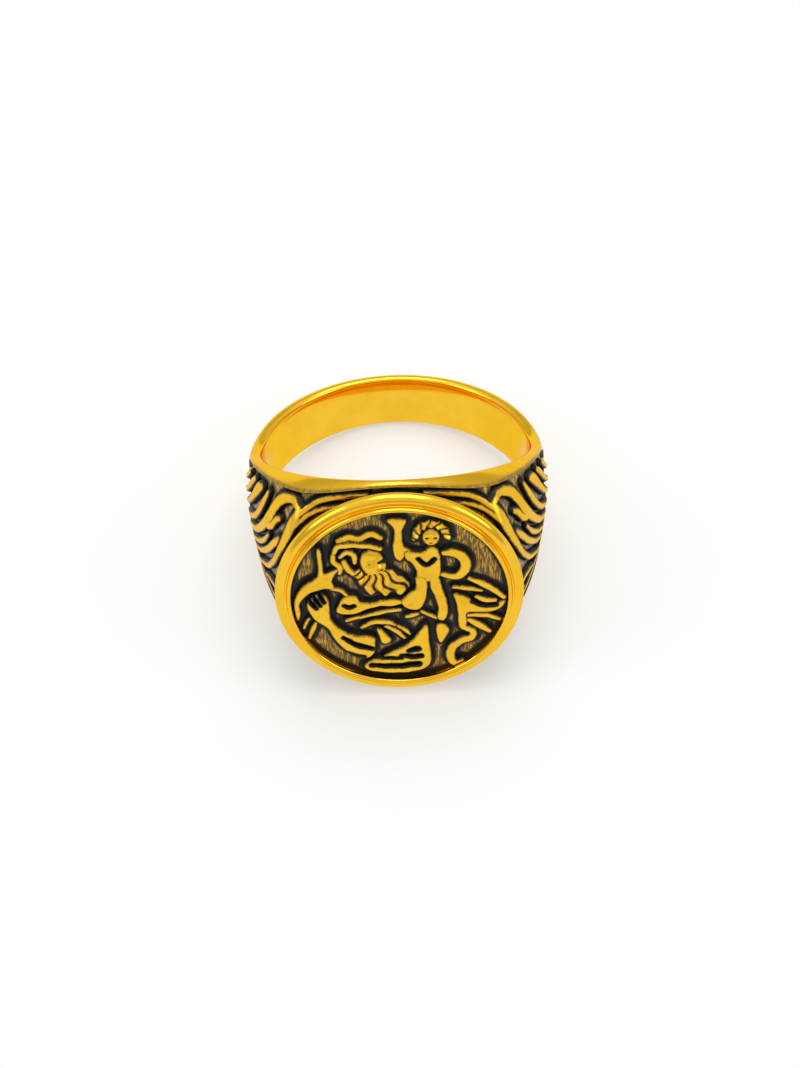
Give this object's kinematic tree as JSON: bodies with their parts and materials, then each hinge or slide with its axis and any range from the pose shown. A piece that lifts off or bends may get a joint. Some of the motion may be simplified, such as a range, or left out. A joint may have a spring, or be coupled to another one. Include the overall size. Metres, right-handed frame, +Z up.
{
  "type": "signet ring",
  "caption": "Gold-coloured finger ring with a round raised medallion in relief and openwork-style scrolls on its shoulders.",
  "frame": {"origin": "centre of the ring's footprint, on the surface it rests on", "axes": "+Z up as the ring lies on its side on a table, -Y out through the face, X across the face; the finger hole runs along (0, 0.286, 0.958)"},
  "size_m": [0.023, 0.0266, 0.0178],
  "materials": {
    "gold": "polished, lightly scratched gold plate",
    "gold_relief": "polished high points, darkened hollows",
    "black_fill": "satin black with rubbed brown patches"
  },
  "bodies": {
    "root": {"shank": "gold", "bezel_rim": "gold", "medallion": "gold_relief", "enamel_medallion": "black_fill", "scrollwork_left": "gold_relief", "scrollwork_right": "gold_relief", "enamel_left": "black_fill", "enamel_right": "black_fill"}
  },
  "joints": []
}
